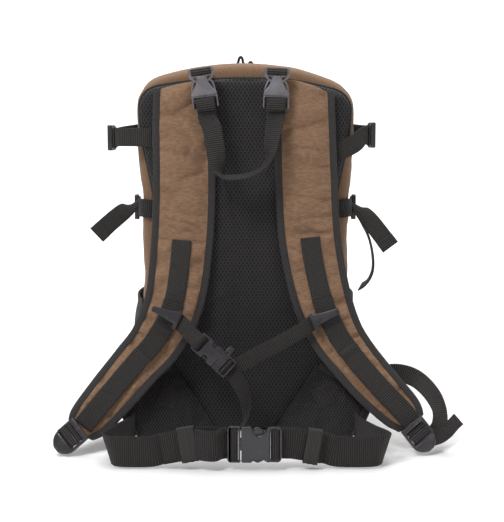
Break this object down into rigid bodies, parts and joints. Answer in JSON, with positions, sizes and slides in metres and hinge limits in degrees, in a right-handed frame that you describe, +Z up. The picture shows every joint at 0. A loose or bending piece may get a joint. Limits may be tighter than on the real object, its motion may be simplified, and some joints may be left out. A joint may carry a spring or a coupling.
{
  "type": "hunting backpack",
  "caption": "Upright fabric backpack with padded shoulder straps, a chest strap, a buckled hip belt, a strap handle on top and a front panel that unzips and folds down.",
  "frame": {"origin": "centre of the bag's flat bottom, which stands on the ground", "axes": "+Z up; -Y towards the wearer, so the harness and back panel face -Y; +X to the right when looking at the harness"},
  "size_m": [0.5023, 0.3968, 0.4916],
  "materials": {
    "brown_fabric": "woven, matte",
    "black_webbing": "ribbed webbing, matte",
    "black_mesh": "spacer mesh, matte",
    "grey_lining": "thin plain weave",
    "black_plastic": "satin moulded",
    "zip_metal": "dark, semi-gloss"
  },
  "bodies": {
    "pack": {"main_bag": "brown_fabric", "frame_sheet": "black_plastic", "back_pad": "black_mesh", "inner_sleeve": "grey_lining", "side_pocket_left": "black_mesh", "side_pocket_right": "black_mesh", "shoulder_strap_left": "brown_fabric", "shoulder_strap_right": "brown_fabric", "strap_webbing_left": "black_webbing", "strap_webbing_right": "black_webbing", "haul_loop_left": "black_webbing", "haul_loop_right": "black_webbing", "sternum_clip_left": "black_plastic", "sternum_clip_right": "black_plastic", "sternum_buckle_socket": "black_plastic", "sternum_webbing_left": "black_webbing", "sternum_webbing_right": "black_webbing", "hip_fin_left": "black_mesh", "hip_fin_right": "black_mesh", "belt_webbing_left": "black_webbing", "belt_webbing_right": "black_webbing", "belt_buckle_socket": "black_plastic", "adjuster_webbing_left": "black_webbing", "adjuster_webbing_right": "black_webbing", "adjuster_tail_right": "black_webbing", "compression_upper_left": "black_webbing", "compression_upper_right": "black_webbing", "compression_lower_left": "black_webbing", "compression_lower_right": "black_webbing", "compression_slack_right": "black_webbing"},
    "flap": {"front_flap": "brown_fabric", "front_pocket": "brown_fabric", "main_zip_coil": "black_webbing", "pocket_zip_coil": "black_webbing"},
    "main_zip_slider_left": {"main_zip_slider_left": "zip_metal"},
    "main_zip_slider_right": {"main_zip_slider_right": "zip_metal"},
    "main_zip_pull_left": {"main_zip_pull_left": "black_webbing"},
    "main_zip_pull_right": {"main_zip_pull_right": "black_webbing"},
    "pocket_zip_slider": {"pocket_zip_slider": "zip_metal"},
    "pocket_zip_pull": {"pocket_zip_pull": "black_webbing"},
    "haul_plugs": {"haul_buckle_left_plug": "black_plastic", "haul_buckle_right_plug": "black_plastic"},
    "haul_strap": {"haul_buckle_left_socket": "black_plastic", "haul_buckle_right_socket": "black_plastic", "haul_webbing": "black_webbing"},
    "sternum_plug": {"sternum_buckle_plug": "black_plastic", "sternum_tail": "black_webbing"},
    "belt_plug": {"belt_buckle_plug": "black_plastic"},
    "belt_keeper_left": {"belt_keeper_left": "black_webbing"},
    "belt_keeper_right": {"belt_keeper_right": "black_webbing"},
    "strap_lock_left": {"strap_lock_left": "black_plastic"},
    "strap_lock_right": {"strap_lock_right": "black_plastic"},
    "compression_lock_upper_left": {"compression_lock_upper_left": "black_plastic"},
    "compression_lock_upper_right": {"compression_lock_upper_right": "black_plastic"},
    "compression_lock_lower_left": {"compression_lock_lower_left": "black_plastic"},
    "compression_lock_lower_right": {"compression_lock_lower_right": "black_plastic"}
  },
  "joints": [
    {"name": "flap_fold", "type": "hinge", "parent": "pack", "child": "flap", "pos_m": [0, 0.1, 0.11], "axis": [-1, 0, 0], "range_deg": [0, 100]},
    {"name": "main_zip_run_left", "type": "hinge", "parent": "flap", "child": "main_zip_slider_left", "pos_m": [0, 0.0483, 0.1], "axis": [0, -1, 0], "range_deg": [0, 14]},
    {"name": "main_zip_run_right", "type": "hinge", "parent": "flap", "child": "main_zip_slider_right", "pos_m": [0, 0.0483, 0.1], "axis": [0, 1, 0], "range_deg": [0, 14]},
    {"name": "main_zip_pull_swing_left", "type": "hinge", "parent": "main_zip_slider_left", "child": "main_zip_pull_left", "pos_m": [-0.007, 0.051, 0.487], "axis": [1, 0, 0], "range_deg": [0, 110]},
    {"name": "main_zip_pull_swing_right", "type": "hinge", "parent": "main_zip_slider_right", "child": "main_zip_pull_right", "pos_m": [0.007, 0.051, 0.487], "axis": [1, 0, 0], "range_deg": [0, 110]},
    {"name": "pocket_zip_run", "type": "slide", "parent": "flap", "child": "pocket_zip_slider", "axis": [1, 0, 0], "range_m": [0, 0.144]},
    {"name": "pocket_zip_pull_swing", "type": "hinge", "parent": "pocket_zip_slider", "child": "pocket_zip_pull", "pos_m": [-0.072, 0.1184, 0.331], "axis": [1, 0, 0], "range_deg": [0, 120]},
    {"name": "haul_swing", "type": "hinge", "parent": "pack", "child": "haul_plugs", "pos_m": [0, -0.136, 0.469], "axis": [-1, 0, 0], "range_deg": [0, 60]},
    {"name": "haul_release", "type": "slide", "parent": "haul_plugs", "child": "haul_strap", "axis": [0.0548, -0.0499, -0.9972], "range_m": [0, 0.028]},
    {"name": "sternum_release", "type": "slide", "parent": "pack", "child": "sternum_plug", "axis": [0.7354, -0.084, -0.6724], "range_m": [0, 0.026]},
    {"name": "belt_release", "type": "slide", "parent": "pack", "child": "belt_plug", "axis": [-1, 0, 0], "range_m": [0, 0.028]},
    {"name": "belt_keeper_run_left", "type": "slide", "parent": "pack", "child": "belt_keeper_left", "axis": [-0.9859, 0, -0.1676], "range_m": [0, 0.022]},
    {"name": "belt_keeper_run_right", "type": "slide", "parent": "pack", "child": "belt_keeper_right", "axis": [0.9859, 0, -0.1676], "range_m": [0, 0.018]},
    {"name": "strap_lock_tilt_left", "type": "hinge", "parent": "pack", "child": "strap_lock_left", "pos_m": [-0.202, -0.21, 0.0315], "axis": [-0.6311, 0.3965, 0.6667], "range_deg": [0, 35]},
    {"name": "strap_lock_tilt_right", "type": "hinge", "parent": "pack", "child": "strap_lock_right", "pos_m": [0.2045, -0.209, 0.036], "axis": [-0.7644, -0.3039, -0.5686], "range_deg": [0, 35]},
    {"name": "compression_lock_tilt_upper_left", "type": "hinge", "parent": "pack", "child": "compression_lock_upper_left", "pos_m": [-0.1735, -0.088, 0.384], "axis": [0, 0, 1], "range_deg": [0, 35]},
    {"name": "compression_lock_tilt_upper_right", "type": "hinge", "parent": "pack", "child": "compression_lock_upper_right", "pos_m": [0.1645, -0.088, 0.3875], "axis": [0, 0, -1], "range_deg": [0, 35]},
    {"name": "compression_lock_tilt_lower_left", "type": "hinge", "parent": "pack", "child": "compression_lock_lower_left", "pos_m": [-0.1435, -0.054, 0.292], "axis": [0, 0, 1], "range_deg": [0, 35]},
    {"name": "compression_lock_tilt_lower_right", "type": "hinge", "parent": "pack", "child": "compression_lock_lower_right", "pos_m": [0.1435, -0.054, 0.292], "axis": [0, 0, -1], "range_deg": [0, 35]}
  ]
}
